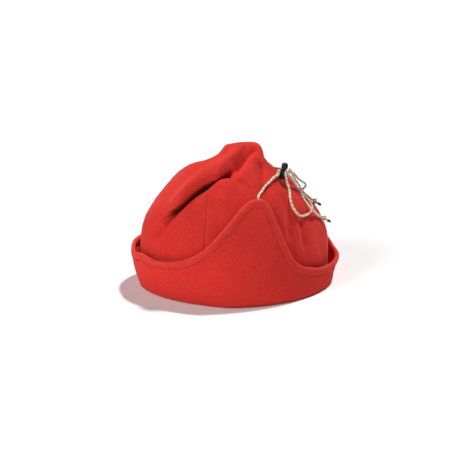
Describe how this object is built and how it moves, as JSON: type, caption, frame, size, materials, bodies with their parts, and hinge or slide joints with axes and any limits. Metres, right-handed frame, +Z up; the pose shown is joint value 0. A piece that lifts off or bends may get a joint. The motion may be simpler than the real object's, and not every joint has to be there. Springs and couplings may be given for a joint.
{
  "type": "fleece ear-flap beanie",
  "caption": "Soft fleece hat with a slumped crown, a turned-up cuff rising to an ear flap on each side, a rolled hem, and an elastic cord with a cord lock.",
  "frame": {"origin": "on the table, under the middle of the cloth parts", "axes": "+Z up, -Y towards the front of the hat, +X towards the wearer's left"},
  "size_m": [0.1802, 0.232, 0.1555],
  "materials": {
    "fleece": "brushed polyester fleece, matt, soft nap",
    "hem": "the same fleece, rolled over and stitched",
    "cord": "braided elastic cord, cream with dark flecks",
    "cord_tip": "heat-sealed dark end",
    "lock_plastic": "moulded black plastic, satin"
  },
  "bodies": {
    "hat": {"crown_left_panel": "fleece", "crown_front_panel": "fleece", "crown_back_panel": "fleece", "crown_right_panel": "fleece", "cuff": "fleece", "cuff_hem": "hem", "cord_lock_barrel": "lock_plastic", "left_cord": "cord", "left_cord_end": "cord", "left_cord_knot": "cord", "left_cord_tip": "cord_tip", "right_cord": "cord", "right_cord_end": "cord", "right_cord_knot": "cord", "right_cord_tip": "cord_tip"},
    "plunger": {"cord_lock_plunger": "lock_plastic"}
  },
  "joints": [
    {"name": "plunger_press", "type": "slide", "parent": "hat", "child": "plunger", "axis": [0.1182, 0.128, 0.9847], "range_m": [-0.0018, 0], "stiffness_N_per_m": 250}
  ]
}
